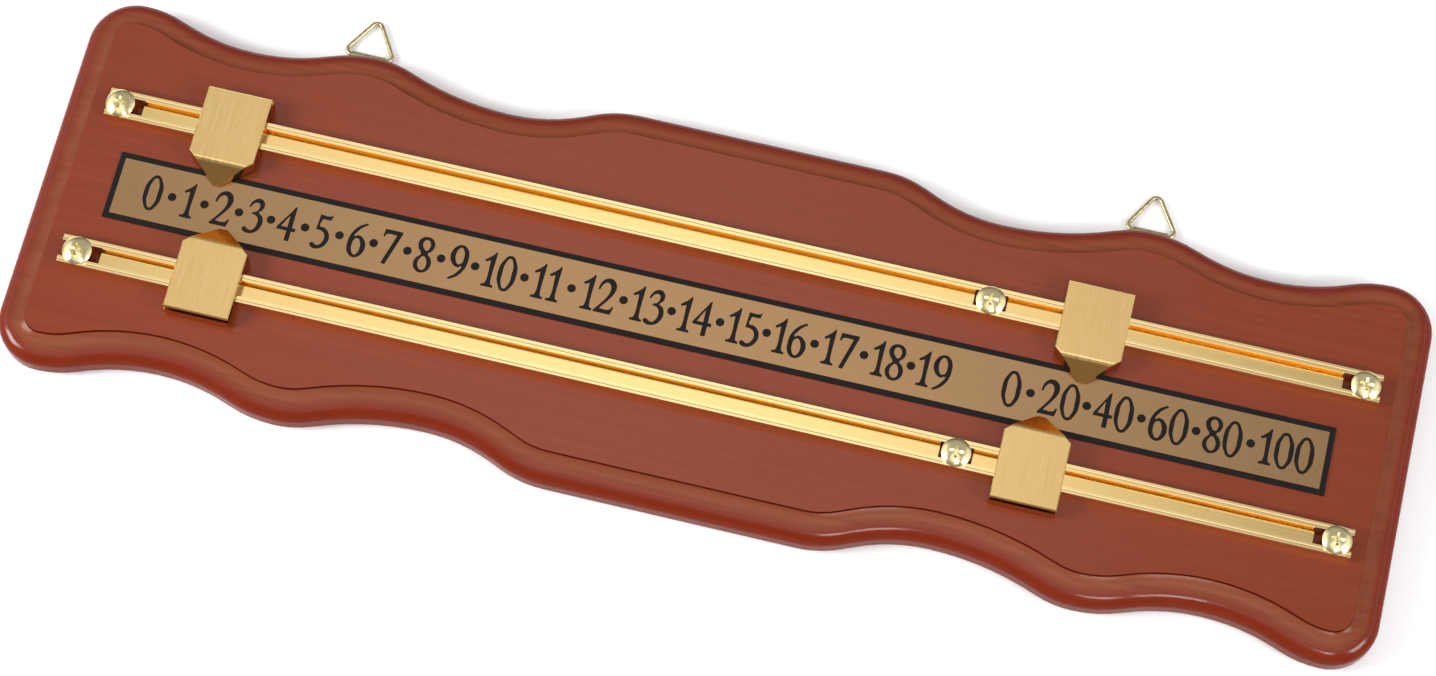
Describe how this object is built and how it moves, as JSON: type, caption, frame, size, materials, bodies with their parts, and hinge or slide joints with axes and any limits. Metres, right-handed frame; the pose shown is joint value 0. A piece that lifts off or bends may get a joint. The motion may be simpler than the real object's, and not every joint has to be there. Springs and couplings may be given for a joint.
{
  "type": "wall scoring board",
  "caption": "Shaped wooden plaque with a number scale between two slotted rails, each rail carrying sliding pointers, and wire hangers at the top.",
  "frame": {"origin": "centre of the board's flat back face", "axes": "+X along the board to the reader's right, +Y up the board towards the hangers, +Z out of the face"},
  "size_m": [0.52, 0.1687, 0.0256],
  "materials": {
    "plaque_wood": "satin lacquer, mahogany stain",
    "scale_black": "satin black",
    "scale_bronze": "satin bronze print",
    "rail_gold": "bright gold anodised",
    "pointer_gold": "brushed gold anodised",
    "screw_brass": "polished, pale brass plate",
    "hanger_brass": "pale brass plate",
    "felt": "dense felt"
  },
  "bodies": {
    "plaque": {"board": "plaque_wood", "scale_plate": "scale_black", "scale_panel": "scale_bronze", "rail_upper": "rail_gold", "rail_lower": "rail_gold", "rail_screw_upper_left": "screw_brass", "rail_screw_upper_middle": "screw_brass", "rail_screw_upper_right": "screw_brass", "rail_screw_lower_left": "screw_brass", "rail_screw_lower_middle": "screw_brass", "rail_screw_lower_right": "screw_brass", "hanger_strap_left": "hanger_brass", "strap_screw_left": "hanger_brass", "felt_pad_left": "felt", "hanger_strap_right": "hanger_brass", "strap_screw_right": "hanger_brass", "felt_pad_right": "felt"},
    "pointer_upper_left": {"pointer_upper_left": "pointer_gold"},
    "pointer_upper_right": {"pointer_upper_right": "pointer_gold"},
    "pointer_lower_left": {"pointer_lower_left": "pointer_gold"},
    "pointer_lower_right": {"pointer_lower_right": "pointer_gold"},
    "hanger_ring_left": {"hanger_ring_left": "hanger_brass"},
    "hanger_ring_right": {"hanger_ring_right": "hanger_brass"}
  },
  "joints": [
    {"name": "pointer_upper_left_slide", "type": "slide", "parent": "plaque", "child": "pointer_upper_left", "axis": [1, 0, 0], "range_m": [-0.0251, 0.273]},
    {"name": "pointer_upper_right_slide", "type": "slide", "parent": "plaque", "child": "pointer_upper_right", "axis": [1, 0, 0], "range_m": [-0.0209, 0.0834]},
    {"name": "pointer_lower_left_slide", "type": "slide", "parent": "plaque", "child": "pointer_lower_left", "axis": [1, 0, 0], "range_m": [-0.0315, 0.2651]},
    {"name": "pointer_lower_right_slide", "type": "slide", "parent": "plaque", "child": "pointer_lower_right", "axis": [1, 0, 0], "range_m": [-0.0093, 0.095]},
    {"name": "hanger_ring_left_swing", "type": "hinge", "parent": "plaque", "child": "hanger_ring_left", "pos_m": [-0.1562, 0.0777, -0.0015], "axis": [1, 0, 0], "range_deg": [-165, 90]},
    {"name": "hanger_ring_right_swing", "type": "hinge", "parent": "plaque", "child": "hanger_ring_right", "pos_m": [0.1502, 0.0777, -0.0015], "axis": [1, 0, 0], "range_deg": [-165, 90]}
  ]
}
